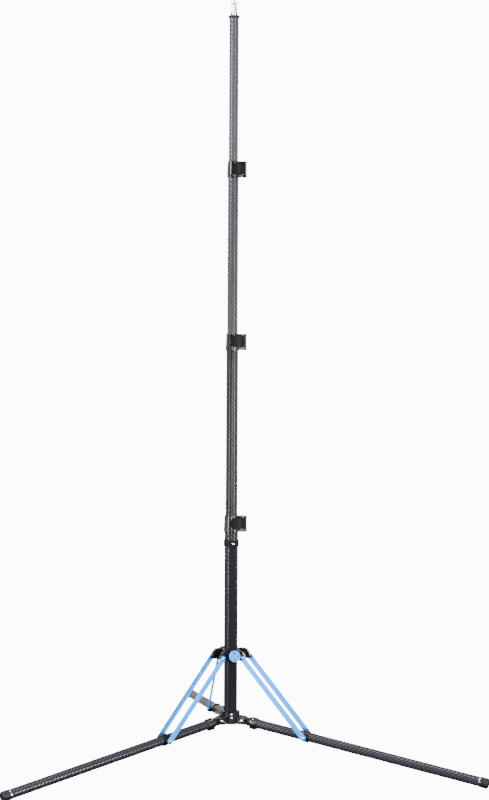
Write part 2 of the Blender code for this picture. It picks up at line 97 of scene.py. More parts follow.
ALONG_X = Matrix.Rotation(math.radians(90), 4, "Y")
ALONG_Y = Matrix.Rotation(math.radians(-90), 4, "X")
STAND_UP = Matrix.Rotation(math.radians(90), 4, "X")

# Joint places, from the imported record
JOINTS = {joint["name"]: joint for joint in frame["record"]["behaviour"]["joints"]}
LEGS = ("back", "left", "right")
PIVOTS = {leg: Vector(JOINTS[f"leg_{leg}_hinge"]["pos_m"]) for leg in LEGS}
AZIMUTHS = {leg: math.degrees(math.atan2(PIVOTS[leg].y, PIVOTS[leg].x)) for leg in LEGS}
HINGE_RADIUS = PIVOTS["back"].to_2d().length
PIVOT_Z = PIVOTS["back"].z
SLIDER_PIVOT = Vector(JOINTS["brace_back_hinge"]["pos_m"])
SLIDER_PIVOT_RADIUS = SLIDER_PIVOT.to_2d().length
SLIDER_Z = SLIDER_PIVOT.z

# Each clamp's body, the tube that it sits on and the tube that it holds
CLAMPS = {
    "lower": ("root", "column", "section_1"),
    "middle": ("section_1", "section_1", "section_2"),
    "upper": ("section_2", "section_2", "section_3"),
}
LEVER_SLOPES = {"lower": 14.0, "middle": 7.0, "upper": 0.0}

LOOKS = bpy.data.collections.new("looks")
bpy.context.scene.collection.children.link(LOOKS)


# ---------------------------------------------------------------- materials

SPECKLE = (0.3, 0.7)    # the part of a noise's range that is spread over a whole ramp


class Graph:
    """Short calls for the nodes of a material or of the world."""

    def __init__(self, tree):
        self.tree = tree

    def node(self, kind, **settings):
        made = self.tree.nodes.new(kind)
        for key, value in settings.items():
            setattr(made, key, value)
        return made

    def link(self, source, target):
        self.tree.links.new(source, target)

    def feed(self, sockets, values):
        """Links or sets each socket. None leaves a socket as it is."""
        for socket, value in zip(sockets, values):
            if value is None:
                continue
            if isinstance(value, tuple):
                socket.default_value = (*value, 1.0)
            elif isinstance(value, (int, float)):
                socket.default_value = value
            else:
                self.link(value, socket)

    def math(self, operation, first, second=None, third=None):
        made = self.node("ShaderNodeMath", operation=operation)
        self.feed(made.inputs, (first, second, third))
        return made.outputs[0]

    def coordinates(self):
        return self.node("ShaderNodeTexCoord").outputs["Object"]

    def noise(self, scale, detail=4.0, stretch=None):
        source = self.coordinates()
        if stretch is not None:
            mapping = self.node("ShaderNodeMapping")
            mapping.inputs["Scale"].default_value = stretch
            self.link(source, mapping.inputs["Vector"])
            source = mapping.outputs[0]
        made = self.node("ShaderNodeTexNoise")
        made.inputs["Scale"].default_value = scale
        made.inputs["Detail"].default_value = detail
        self.link(source, made.inputs["Vector"])
        return made.outputs[0]

    def ramp(self, factor, low, high, start=0.0, end=1.0):
        """A grey that goes from low to high, as the factor goes from start to end."""
        made = self.node("ShaderNodeValToRGB")
        for stop, position, grey in zip(made.color_ramp.elements, (start, end), (low, high)):
            stop.position = position
            stop.color = (grey, grey, grey, 1.0)
        self.link(factor, made.inputs[0])
        return made.outputs[0]

    def mix(self, factor, first, second, blend="MIX"):
        made = self.node("ShaderNodeMix", data_type="RGBA", blend_type=blend)
        self.feed((made.inputs[0], made.inputs[6], made.inputs[7]), (factor, first, second))
        return made.outputs[2]

    def times(self, colour, factor):
        return self.mix(1.0, colour, factor, "MULTIPLY")


class Material(Graph):
    """A Principled material. The plain colour and roughness stay on its sockets under any links."""

    def __init__(self, name, colour, roughness, metallic=0.0):
        self.material = bpy.data.materials.new(name)
        self.material.use_nodes = True
        super().__init__(self.material.node_tree)
        self.sockets = self.tree.nodes["Principled BSDF"].inputs
        self.set("Base Color", (*colour, 1.0))
        self.set("Roughness", roughness)
        self.set("Metallic", metallic)

    def set(self, name, value):
        self.sockets[name].default_value = value

    def colour(self, source):
        self.link(source, self.sockets["Base Color"])

    def roughness(self, noise, low, high):
        self.link(self.ramp(noise, low, high, *SPECKLE), self.sockets["Roughness"])

    def bump(self, height, strength, distance=0.0002):
        made = self.node("ShaderNodeBump")
        made.inputs["Strength"].default_value = strength
        made.inputs["Distance"].default_value = distance
        self.link(height, made.inputs["Height"])
        self.link(made.outputs[0], self.sockets["Normal"])

    def worn_edges(self, colour, worn, amount):
        """Mixes a worn colour in along convex edges, broken up by noise."""
        edge = self.node("ShaderNodeNewGeometry").outputs["Pointiness"]
        mask = self.ramp(edge, 0.0, 1.0, 0.52, 0.62)
        broken = self.ramp(self.noise(900.0), 0.0, 1.0, 0.45, 0.70)
        factor = self.math("MULTIPLY", self.math("MULTIPLY", mask, broken), amount)
        return self.mix(factor, colour, worn)


def carbon(name, radius, light, dark, shine):
    """Clear-coated twill, wrapped round a tube along local Z.

    The twill is the tube's own pattern. The tows along the tube are painted lighter, as a painted sheen,
    and the ones round it darker.
    """
    tow = 0.0025
    made = Material(name, dark, 0.4)
    around = max(8, 4 * round(math.tau * radius / tow / 4))
    split = made.node("ShaderNodeSeparateXYZ")
    made.link(made.coordinates(), split.inputs[0])
    x, y, z = split.outputs
    angle = made.math("ARCTAN2", y, x)
    across = made.math("MULTIPLY_ADD", angle, around / math.tau, float(around))
    wobble = made.math("MULTIPLY", made.math("SUBTRACT", made.noise(60.0, 2.0), 0.5), 0.5)
    along = made.math("ADD", made.math("MULTIPLY", z, 1 / tow), wobble)

    # A twill over two and under two, one step further round at each row
    diagonal = made.math("ADD", made.math("FLOOR", along), made.math("FLOOR", across))
    over = made.math("LESS_THAN", made.math("FLOORED_MODULO", diagonal, 4.0), 1.5)

    # Each tow is rounded across its own width
    crowns = []
    for place in (across, along):
        offset = made.math("SUBTRACT", made.math("FRACT", place), 0.5)
        crowns.append(made.math("COSINE", made.math("MULTIPLY", offset, math.pi * 0.92)))
    crown_across, crown_along = crowns
    rise = made.node("ShaderNodeMix", data_type="FLOAT")
    made.feed((rise.inputs[0], rise.inputs[2], rise.inputs[3]), (over, crown_along, crown_across))
    height = rise.outputs[0]

    # Painted sheen and shade: the tows along the tube are painted lighter, and each tow is darkened
    # towards its edges, as painted shade in the dips between the tows
    colour = made.times(made.mix(over, dark, light), made.ramp(height, 0.55, 1.0, 0.15, 0.95))
    fibre = made.noise(2500.0, 2.0, (1.0, 1.0, 0.04))
    colour = made.times(colour, made.ramp(fibre, 0.72, 1.0, 0.35, 0.65))
    clouds = made.noise(14.0, 3.0)
    made.colour(made.times(colour, made.ramp(clouds, 0.82, 1.0, 0.35, 0.65)))
    made.link(made.ramp(over, 0.46, 0.24), made.sockets["Roughness"])
    made.link(made.math("MULTIPLY_ADD", over, shine, 0.02), made.sockets["Specular IOR Level"])
    made.bump(height, 0.04, 0.0003)
    made.set("Coat Weight", 0.05)
    made.set("Coat Roughness", 0.2)
    return made.material


def black_plastic():
    base = (0.0030, 0.0030, 0.0040)
    made = Material("black_plastic", base, 0.2)
    made.colour(made.worn_edges(base, (0.02, 0.02, 0.023), 0.4))
    made.roughness(made.noise(180.0), 0.14, 0.26)
    made.bump(made.noise(1600.0, 2.0), 0.03)
    made.set("Specular IOR Level", 0.2)
    made.set("Coat Weight", 0.18)
    made.set("Coat Roughness", 0.08)
    return made.material


def black_grip():
    base = (0.0024, 0.0023, 0.0031)
    made = Material("black_grip", base, 0.45)
    made.roughness(made.noise(900.0), 0.34, 0.5)
    made.colour(made.mix(made.noise(300.0), base, (0.0040, 0.0038, 0.0050)))
    made.bump(made.noise(2600.0, 2.0), 0.12)
    made.set("Specular IOR Level", 0.07)
    return made.material


def black_casting():
    base = (0.0040, 0.0040, 0.0055)
    made = Material("black_casting", base, 0.3)
    made.colour(made.worn_edges(base, (0.016, 0.016, 0.019), 0.3))
    made.roughness(made.noise(500.0), 0.26, 0.31)
    made.bump(made.noise(2600.0, 2.0), 0.03)
    made.set("Specular IOR Level", 0.4)
    return made.material


def zinc_steel():
    base = (0.20, 0.19, 0.195)
    made = Material("zinc_steel", base, 0.34, 1.0)
    made.colour(made.mix(made.noise(500.0), base, (0.13, 0.125, 0.13)))
    made.roughness(made.noise(900.0), 0.28, 0.42)
    made.bump(made.noise(1800.0), 0.05)
    return made.material


def rail_metal():
    base = (0.0058, 0.0056, 0.0068)
    made = Material("rail_metal", base, 0.4)
    drawn = made.noise(1800.0, 2.0, (1.0, 1.0, 0.02))
    made.colour(made.mix(drawn, base, (0.0076, 0.0074, 0.0088)))
    made.roughness(drawn, 0.46, 0.56)
    made.bump(drawn, 0.05)
    made.set("Specular IOR Level", 0.04)
    return made.material


def blue_anodised():
    made = Material("blue_anodised", (0.004, 0.285, 0.85), 0.45, 0.88)
    grain = made.noise(1500.0, 3.0, (0.03, 1.0, 1.0))
    spread = made.ramp(grain, 0.0, 1.0, *SPECKLE)
    tone = made.mix(spread, (0.003, 0.276, 0.90), (0.006, 0.304, 0.96))
    made.colour(made.worn_edges(tone, (0.40, 0.62, 0.86), 0.5))
    made.roughness(grain, 0.42, 0.52)
    made.bump(grain, 0.03)
    made.set("Specular IOR Level", 0.25)
    return made.material


def bright_steel():
    base = (0.86, 0.82, 0.81)
    made = Material("bright_steel", base, 0.16, 1.0)
    lathe = made.noise(1200.0, 2.0, (0.05, 0.05, 1.0))
    made.roughness(lathe, 0.10, 0.24)
    soil = made.ramp(made.noise(220.0), 0.0, 1.0, 0.52, 0.72)
    made.colour(made.mix(soil, base, (0.66, 0.62, 0.61)))
    made.bump(lathe, 0.06)
    return made.material


# Near-black: painted shade on the discs inside sockets and holes. The rail's small studs are painted the
# same colour
def dark_recess():
    made = Material("dark_recess", (0.002, 0.002, 0.002), 0.6)
    made.colour(made.mix(made.noise(700.0), (0.0010, 0.0010, 0.0014), (0.0030, 0.0030, 0.0036)))
    made.set("Specular IOR Level", 0.05)
    return made.material


def rubber():
    base = (0.0028, 0.0028, 0.0058)
    made = Material("rubber", base, 0.5)
    made.colour(made.mix(made.noise(160.0), base, (0.0050, 0.0050, 0.0090)))
    made.roughness(made.noise(500.0), 0.38, 0.6)
    made.bump(made.noise(2200.0, 3.0), 0.3, 0.0003)
    made.set("Specular IOR Level", 0.2)
    return made.material


def nylon():
    made = Material("nylon", (0.05, 0.05, 0.05), 0.5)
    made.bump(made.noise(900.0), 0.2)
    made.colour(made.mix(made.noise(90.0), (0.045, 0.045, 0.045), (0.06, 0.06, 0.06)))
    return made.material


# Radius, light tows, dark tows and shine. The tones are painted light and shade: the same carbon gets its
# own brightness for each section, the column and the legs, so the sections are painted paler towards the
# top
WEAVES = {
    "carbon_section_3": (TUBE_RADII["section_3"], (0.070, 0.061, 0.073), (0.053, 0.046, 0.056), 0.28),
    "carbon_section_2": (TUBE_RADII["section_2"], (0.054, 0.047, 0.057), (0.028, 0.0245, 0.031), 0.28),
    "carbon_section_1": (TUBE_RADII["section_1"], (0.0165, 0.0145, 0.019), (0.01, 0.0087, 0.012), 0.2),
    "carbon_column": (TUBE_RADII["column"], (0.018, 0.016, 0.0205), (0.0125, 0.0108, 0.015), 0.18),
    "carbon_leg": (LEG_RADIUS, (0.0285, 0.0252, 0.0325), (0.0205, 0.0181, 0.0245), 0.28),
}
MATERIALS = {name: carbon(name, *weave) for name, weave in WEAVES.items()}
MATERIALS.update({
    "black_plastic": black_plastic(),
    "black_grip": black_grip(),
    "black_metal": black_casting(),
    "rail_metal": rail_metal(),
    "zinc_steel": zinc_steel(),
    "blue_anodised": blue_anodised(),
    "bright_steel": bright_steel(),
    "dark_recess": dark_recess(),
    "rubber": rubber(),
    "nylon": nylon(),
})


# ---------------------------------------------------------------- shapes

def add_object(name, mesh, matrix=None):
    obj = bpy.data.objects.new(name, mesh)
    LOOKS.objects.link(obj)
    if matrix is not None:
        obj.matrix_world = matrix
    return obj


def turned(name, outline, matrix=None, steps=FINE, closed=True):
    """A profile of (radius, height) points, top to bottom on its outer side, turned round Z."""
    shape = bmesh.new()
    verts = [shape.verts.new((radius, 0.0, height)) for radius, height in outline]
    for first, second in zip(verts, verts[1:]):
        shape.edges.new((first, second))
    if closed:
        shape.edges.new((verts[-1], verts[0]))
    mesh = bpy.data.meshes.new(name)
    shape.to_mesh(mesh)
    shape.free()
    obj = add_object(name, mesh, matrix)
    screw = obj.modifiers.new("turn", "SCREW")
    screw.angle = math.tau
    screw.steps = steps
    screw.render_steps = steps
    screw.use_merge_vertices = True
    screw.merge_threshold = 0.00001
    return obj


def ring(name, inner, outer, low, high, matrix=None, steps=FINE):
    return turned(name, [(outer, high), (outer, low), (inner, low), (inner, high)], matrix, steps)


def rod(name, radius, low, high, matrix=None, steps=FINE):
    outline = [(0.0, high), (radius, high), (radius, low), (0.0, low)]
    return turned(name, outline, matrix, steps, closed=False)


def box(name, low, high, matrix=None):
    shape = bmesh.new()
    bmesh.ops.create_cube(shape, size=1.0)
    size = Vector(high) - Vector(low)
    bmesh.ops.scale(shape, vec=size, verts=shape.verts)
    bmesh.ops.translate(shape, vec=(Vector(low) + Vector(high)) / 2, verts=shape.verts)
    mesh = bpy.data.meshes.new(name)
    shape.to_mesh(mesh)
    shape.free()
    return add_object(name, mesh, matrix)


def arc(centre, radius, start, end, count):
    points = []
    for index in range(count + 1):
        angle = math.radians(start + (end - start) * index / count)
        points.append((centre[0] + radius * math.cos(angle), centre[1] + radius * math.sin(angle)))
    return points


def circle(centre, radius, count=SMALL):
    return arc(centre, radius, 0, 360, count)[:-1]


def plate(name, outlines, thickness, matrix=None):
    """A flat plate centred on local Z = 0. The first outline is its edge, the rest are holes."""
    curve = bpy.data.curves.new(name, "CURVE")
    curve.dimensions = "2D"
    curve.fill_mode = "BOTH"
    curve.extrude = thickness / 2
    for outline in outlines:
        spline = curve.splines.new("POLY")
        spline.points.add(len(outline) - 1)
        for point, (x, y) in zip(spline.points, outline):
            point.co = (x, y, 0.0, 1.0)
        spline.use_cyclic_u = True
    source = bpy.data.objects.new(name + "_curve", curve)
    LOOKS.objects.link(source)
    bpy.context.view_layer.update()
    evaluated = source.evaluated_get(bpy.context.evaluated_depsgraph_get())
    mesh = bpy.data.meshes.new_from_object(evaluated)
    bpy.data.objects.remove(source, do_unlink=True)
    shape = bmesh.new()
    shape.from_mesh(mesh)
    bmesh.ops.remove_doubles(shape, verts=shape.verts, dist=0.000001)
    bmesh.ops.dissolve_limit(shape, angle_limit=0.01, verts=shape.verts, edges=shape.edges)
    bmesh.ops.recalc_face_normals(shape, faces=shape.faces)
    shape.to_mesh(mesh)
    shape.free()
    return add_object(name, mesh, matrix)


def combine(target, tool, operation):
    tool.hide_render = True
    step = target.modifiers.new(operation.lower(), "BOOLEAN")
    step.operation = operation
    step.solver = "EXACT"
    step.object = tool


def join(target, tool):
    combine(target, tool, "UNION")


def cut(target, tool):
    combine(target, tool, "DIFFERENCE")


def bevel(target, width, segments=2, angle=32):
    step = target.modifiers.new("bevel", "BEVEL")
    step.width = width
    step.segments = segments
    step.limit_method = "ANGLE"
    step.angle_limit = math.radians(angle)
    step.use_clamp_overlap = True


def applied(obj):
    """Puts the evaluated mesh in the object, without its modifiers, and returns it."""
    bpy.context.view_layer.update()
    evaluated = obj.evaluated_get(bpy.context.evaluated_depsgraph_get())
    mesh = bpy.data.meshes.new_from_object(evaluated)
    obj.modifiers.clear()
    obj.data = mesh
    return mesh


def settle(obj, sharp=38):
    """Applies the modifiers, removes the Boolean tools and shades the piece smooth."""
    tools = {step.object for step in obj.modifiers if step.type == "BOOLEAN"}
    bevelled = any(step.type == "BEVEL" for step in obj.modifiers)
    mesh = applied(obj)
    for tool in tools:
        for step in tool.modifiers:
            if step.type == "BOOLEAN":
                bpy.data.objects.remove(step.object, do_unlink=True)
        bpy.data.objects.remove(tool, do_unlink=True)
    mesh.shade_smooth()
    mesh.set_sharp_from_angle(angle=math.radians(sharp))
    if bevelled:
        weigh = obj.modifiers.new("weigh", "WEIGHTED_NORMAL")
        weigh.keep_sharp = True
        applied(obj)


def bake_place(obj):
    """Moves the object's place into its vertices, so that its box fits closely."""
    obj.data.transform(obj.matrix_world)
    obj.matrix_world = Matrix.Identity(4)


def finish(obj, look, body, slot, *nodes, sharp=38):
    """Settles a piece, gives it its material and ties it to the frame."""
    settle(obj, sharp)
    if look == "rubber":
        bake_place(obj)
    obj.data.materials.clear()
    obj.data.materials.append(MATERIALS[look])
    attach(obj, body)
    if nodes:
        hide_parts(*nodes)
    return obj


# ---------------------------------------------------------------- frames

def radial_frame(azimuth, radius, height, tilt=0.0):
    """Local X points outward at the azimuth and down by the tilt, local Y along a hinge pin."""
    turn = Matrix.Rotation(math.radians(azimuth), 4, "Z")
    out = Matrix.Translation((radius, 0.0, height))
    return turn @ out @ Matrix.Rotation(tilt, 4, "Y")


def leg_frame(leg):
    return radial_frame(AZIMUTHS[leg], HINGE_RADIUS, PIVOT_Z, LEG_TILT)


def slider_frame(azimuth):
    return radial_frame(azimuth, 0.0, SLIDER_Z)


def brace_reach():
    """How far the lower brace pivot is out from the upper one, and how far down."""
    out = HINGE_RADIUS + BRACE_STATION * math.cos(LEG_TILT) - SLIDER_PIVOT_RADIUS
    down = SLIDER_Z - PIVOT_Z + BRACE_STATION * math.sin(LEG_TILT)
    return out, down


def brace_frame(leg):
    out, down = brace_reach()
    return radial_frame(AZIMUTHS[leg], SLIDER_PIVOT_RADIUS, SLIDER_Z, math.atan2(down, out))


def clamp_height(place):
    low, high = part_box(f"{place}_clamp_collar")
    return (low[2] + high[2]) / 2


# ---------------------------------------------------------------- fasteners

def screw(name, matrix, radius, height, body, shank=0.0, nodes=(), recess=0.45, rim=True,
          look="bright_steel"):
    """A pan-head screw seated at local Z = 0, with a six-sided socket. A disc inside the socket is
    painted near-black, as painted shade in the recess.

    The rim is an edge low on the head's side. A head that is low for its width doubles back there
    and comes out inside out, as those of the hub and the rail collar do.
    """
    edge = radius * 0.22
    outline = [(0.0, height), (radius * 0.62, height), (radius - edge, height - edge * 0.25),
               (radius - edge * 0.25, height - edge), (radius, height - 1.8 * edge)]
    if rim:
        outline += [(radius, min(0.0005, height * 0.3))]
    outline += [(radius, 0.0)]
    if shank > 0:
        outline += [(radius * 0.5, 0.0), (radius * 0.5, -shank), (0.0, -shank)]
    else:
        outline += [(0.0, 0.0)]
    head = turned(name, outline, matrix, SMALL, closed=False)
    socket_at = matrix @ Matrix.Translation((0, 0, height))
    cut(head, rod(name + "_socket", radius * recess, -height * 0.7, 0.01, socket_at, 6))
    finish(head, look, body, "bright_steel", *nodes, sharp=30)
    # A disc inside the socket, painted near-black: painted shade in the recess
    inside = rod(name + "_recess", radius * recess * 0.86, height * 0.32, height * 0.40, matrix, 6)
    finish(inside, "dark_recess", body, "bright_steel")


def facing(side):
    """Local Z along +Y or -Y."""
    return ALONG_Y if side > 0 else STAND_UP


# ---------------------------------------------------------------- hub and column

def make_hub():
    hub = rod("hub_body", HUB_RADIUS, 0.0, HUB_HEIGHT)
    root = HUB_RADIUS - HINGE_RADIUS - 0.0015
    ear = [(root, -EAR_RADIUS), *arc((0, 0), EAR_RADIUS, -90, 90, 28), (root, EAR_RADIUS)]
    ear_middle = LUG_HALF + GAP + EAR_THICKNESS / 2
    for leg in LEGS:
        place = radial_frame(AZIMUTHS[leg], HINGE_RADIUS, PIVOT_Z)
        for side in (-1, 1):
            ear_at = place @ Matrix.Translation((0, side * ear_middle, 0)) @ STAND_UP
            join(hub, plate(f"ear_{leg}_{side}", [ear], EAR_THICKNESS, ear_at))
        between = radial_frame(AZIMUTHS[leg] + 60, 0, 0)
        join(hub, box(f"block_{leg}", (0.012, -BLOCK_HALF, 0.0001),
                      (BLOCK_FRONT, BLOCK_HALF, HUB_HEIGHT - 0.001), between))
    cut(hub, rod("hub_bore", TUBE_RADII["column"] + GAP, 0.004, HUB_HEIGHT + 0.01))
    bevel(hub, 0.0006, 3)
    finish(hub, "black_metal", "root", "black_metal", "hub")
    front = radial_frame(AZIMUTHS["left"] + 60, BLOCK_FRONT, 0)
    for name, height in (("lower", 0.0152), ("upper", 0.0232)):
        at = front @ Matrix.Translation((0, 0, height)) @ ALONG_X
        screw(f"hub_screw_{name}", at, 0.0031, 0.0012, "root")


def make_hub_pins():
    reach = LUG_HALF + GAP + EAR_THICKNESS + GAP
    for leg in LEGS:
        place = radial_frame(AZIMUTHS[leg], HINGE_RADIUS, PIVOT_Z)
        for side, end, nodes in ((-1, "near", ()), (1, "far", (f"hub_pin_{leg}",))):
            at = place @ Matrix.Translation((0, side * reach, 0)) @ facing(side)
            screw(f"hub_pin_{leg}_{end}", at, 0.0040, 0.0018, "root",
                  shank=reach, nodes=nodes, recess=0.42)


def make_column():
    low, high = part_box("column_tube")
    radius = TUBE_RADII["column"]
    tube = ring("column_tube_skin", radius - TUBE_WALL, radius, low[2], high[2])
    finish(tube, "carbon_column", "root", "carbon", "column_tube")


def make_rail():
    """The flat rail on the column's front, with two drawn lines, a short mark and plain studs."""
    at = radial_frame(LOCK_AZIMUTH, 0, 0)
    low, high = (corner[2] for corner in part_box("column_rail"))
    back = TUBE_RADII["column"] + GAP
    front = back + RAIL_THICKNESS
    cut_from = front - 0.0003
    cut_to = back + 0.01
    rail = box("rail_strip", (back, -RAIL_WIDTH / 2, low), (front, RAIL_WIDTH / 2, high), at)
    for side in (-1, 1):
        middle = side * 0.0042
        line = box(f"rail_line_{side}", (cut_from, middle - 0.0003, -1), (cut_to, middle + 0.0003, 1), at)
        cut(rail, line)
    cut(rail, box("rail_mark", (cut_from, 0.0, high - 0.0232), (cut_to, 0.01, high - 0.0224), at))
    bevel(rail, 0.0002, 2)
    finish(rail, "rail_metal", "root", "black_metal", "column_rail")

    dome = [(0.0, 0.0005), (0.0009, 0.00045), (0.0014, 0.0002), (0.0014, 0.0), (0.0, 0.0)]
    places = [(row, side) for row in range(6) for side in (-1, 1)]
    for index, (row, side) in enumerate(places):
        height = low + 0.062 + 0.0093 * row
        stud_at = at @ Matrix.Translation((front - 0.0002, side * 0.0030, height)) @ ALONG_X
        stud = turned(f"rail_stud_{index:02d}", dome, stud_at, 24, closed=False)
        finish(stud, "dark_recess", "root", "black_metal")


def make_rail_collar():
    at = radial_frame(LOCK_AZIMUTH, 0, 0)
    low, high = (corner[2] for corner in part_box("rail_collar"))
    tube = TUBE_RADII["column"]
    outer = tube + 0.0021
    front = tube + 0.0042
    collar = turned("rail_collar_body", [
        (0.0, high), (outer - 0.0005, high), (outer, high - 0.0006),
        (outer, low + 0.0006), (outer - 0.0005, low), (0.0, low)], closed=False)
    join(collar, box("collar_boss", (0.010, -0.0080, low + 0.0003), (front, 0.0080, high - 0.0003), at))
    cut(collar, rod("collar_bore", tube + GAP, low - 0.01, high + 0.01))
    bevel(collar, 0.0005, 3)
    finish(collar, "black_grip", "root", "black_plastic", "rail_collar")
    screw_at = at @ Matrix.Translation((front - 0.0002, 0, (low + high) / 2)) @ ALONG_X
    screw("rail_collar_screw", screw_at, 0.0034, 0.0012, "root", recess=0.30)


# ---------------------------------------------------------------- telescopic sections

def make_sections():
    for name in ("section_1", "section_2", "section_3"):
        low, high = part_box(f"{name}_tube")
        radius = TUBE_RADII[name]
        tube = ring(f"{name}_tube_skin", radius - TUBE_WALL, radius, 0.0, high[2] - low[2],
                    Matrix.Translation((0, 0, low[2])))
        finish(tube, f"carbon_{name}", name, "carbon", f"{name}_tube")


def make_top_ring():
    radius = TUBE_RADII["section_3"]
    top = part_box("top_ring")[1][2]
    bore = radius - TUBE_WALL
    lip = top - 0.001
    ring_outline = [*arc((0.0122, lip), 0.001, 90, 0, 6), *arc((0.0124, top - 0.0044), 0.0008, 0, -90, 5),
                    (radius + GAP, top - 0.0052), (radius + GAP, lip), (bore, lip), (bore, top)]
    finish(turned("top_ring_skin", ring_outline), "rubber", "section_3", "rubber", "top_ring")


def make_spigot():
    """The mounting stud: a thread, a flange, a waist and a foot that goes down into the tube."""
    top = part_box("top_ring")[1][2]
    tip, thread_top, thread_end = 0.0380, 0.0372, 0.0308
    crest, root, pitch = 0.0032, 0.0028, 0.0010
    thread = []
    for turn in range(int((thread_top - thread_end) / pitch)):
        height = thread_top - turn * pitch
        thread += [(crest, height), (crest, height - 0.0003), (root, height - 0.0005)]
    foot = [(0.0097, GAP), (0.0097, -0.0250), (0.0, -0.0250)]
    outline = [(0.0, tip), (0.0027, tip), *thread, (crest, thread_end), (0.0033, 0.0303),
               *arc((0.0072, 0.0295), 0.0008, 90, 0, 5), *arc((0.0072, 0.0276), 0.0008, 0, -40, 4),
               *arc((0.0086, 0.0240), 0.0022, 140, 180, 5), (0.00635, 0.0085),
               *arc((0.0086, 0.0082), 0.0022, 180, 215, 5), (0.0080, 0.0062),
               *arc((0.0079, 0.0056), 0.0005, 60, 0, 3), (0.0084, 0.0012), *foot]
    spigot = turned("spigot_skin", outline, Matrix.Translation((0, 0, top)), closed=False)
    finish(spigot, "bright_steel", "section_3", "bright_steel", "spigot", sharp=25)


# ---------------------------------------------------------------- clamps

def clamp_sizes(outside):
    """The lever's centre, its outer radius, its pin and the bolt's X, for a tube's radius."""
    centre = (0.0070 - 0.4 * (0.016 - outside), 0.004)
    outer = outside + 0.0135
    pin = (centre[0] + outer - BARREL_RADIUS, 0.0)
    return centre, outer, pin, outside + 0.0058


def collar_shell(place, at, top_radius, low_radius):
    """A tapered collar over a low rim, with a raised panel that ends on a slant."""
    half = CLAMP_HALF
    step = 0.0006
    outline = [
        (0.0, half), *arc((top_radius - step, half - step), step, 90, 0, 4),
        (low_radius - 0.0008, -half + 0.0110),
        *arc((low_radius - step, -half + 0.0098), step, 70, 0, 4),
        *arc((low_radius - step, -half + step), step, 0, -90, 4), (0.0, -half),
    ]
    collar = turned(f"{place}_collar_body", outline, at, closed=False)
    panel = turned(f"{place}_collar_panel", [
        (0.0, half - 0.0012), (top_radius + 0.0001, half - 0.0012), (low_radius - 0.0005, -half + 0.013),
        (low_radius - 0.0001, -half + 0.004), (0.0, -half + 0.004)], at, closed=False)
    slant_at = at @ Matrix.Translation((0, 0, -0.0035)) @ Matrix.Rotation(math.radians(28), 4, "Y")
    slant = box(f"{place}_collar_slant", (-0.05, -0.05, -0.06), (0.05, 0.05, 0.0), slant_at)
    combine(panel, slant, "INTERSECT")
    join(collar, panel)
    return collar


def make_clamp_collar(place):
    body, around, inner = CLAMPS[place]
    outside, inside = TUBE_RADII[around], TUBE_RADII[inner]
    at = Matrix.Translation((0, 0, clamp_height(place)))
    pin_at = clamp_sizes(outside)[2]
    low_radius = outside + 0.0023
    half = CLAMP_HALF
    collar = collar_shell(place, at, inside + 0.0022, low_radius)

    # Two ears that carry the lever's pin, the jaw between them and an ear behind for the nut
    root = 0.006
    ear_radius = 0.0050
    ear = [(root, -ear_radius), *arc(pin_at, ear_radius, -90, 90, 20), (root, ear_radius)]
    for level, low, high in (("upper", LEVER_HIGH + GAP, half - 0.0001),
                             ("lower", -half + 0.0001, LEVER_LOW - GAP)):
        ear_at = at @ Matrix.Translation((0, 0, (low + high) / 2))
        join(collar, plate(f"{place}_ear_{level}", [ear], high - low, ear_at))
    join(collar, box(f"{place}_jaw", (root, -0.0046, -half + 0.0003),
                     (pin_at[0] - BARREL_RADIUS - 0.0004, 0.0046, half - 0.0008), at))
    join(collar, box(f"{place}_back_ear", (root, 0.0040, -half + 0.0003),
                     (outside + 0.011, 0.0112, LEVER_LOW - 0.0005), at))

    # The bore holds the inner tube above a shoulder and the outer tube below it
    shoulder = -0.0015
    bore = [(0.0, PAST), (inside + GAP, PAST), (inside + GAP, shoulder), (outside + GAP, shoulder),
            (outside + GAP, -PAST), (0.0, -PAST)]
    cut(collar, turned(f"{place}_bore", bore, at, closed=False))
    cut(collar, box(f"{place}_slit", (0.008, 0.0052, -PAST), (0.045, 0.0064, PAST), at))
    for number, azimuth in enumerate((-118, -100, -82)):
        flute_at = at @ radial_frame(azimuth, low_radius + 0.0030, -half + 0.0048)
        cut(collar, rod(f"{place}_flute_{number}", 0.0034, -0.0026, 0.0026, flute_at, 24))
    bevel(collar, 0.00035, 2, 40)
    finish(collar, "black_plastic", body, "black_plastic", f"{place}_clamp_collar", sharp=30)


def make_clamp_fasteners(place):
    body, around, _ = CLAMPS[place]
    at = Matrix.Translation((0, 0, clamp_height(place)))
    pin_at, bolt_x = clamp_sizes(TUBE_RADII[around])[2:]
    radius, reach, chamfer = LEVER_PIN_RADIUS, 0.0190, 0.0003
    outline = [(0.0, reach), (radius - chamfer, reach), (radius, reach - chamfer),
               (radius, chamfer - reach), (radius - chamfer, -reach), (0.0, -reach)]
    pin = turned(f"{place}_pin_skin", outline, at @ Matrix.Translation((*pin_at, 0)), SMALL, closed=False)
    finish(pin, "bright_steel", body, "bright_steel", f"{place}_clamp_pin")
    bolt_at = at @ Matrix.Translation((bolt_x, -0.0053, BOLT_HEIGHT)) @ facing(-1)
    screw(f"{place}_bolt_skin", bolt_at, 0.0038, 0.0031, body, shank=0.0170,
          nodes=(f"{place}_clamp_bolt",), recess=0.55, look="zinc_steel")
    nut_at = at @ Matrix.Translation((bolt_x, 0.0113, BOLT_HEIGHT)) @ facing(1)
    nut = rod(f"{place}_bolt_nut", 0.0036, 0.0, 0.0014, nut_at, 6)
    bevel(nut, 0.0003, 2)
    finish(nut, "bright_steel", body, "bright_steel")


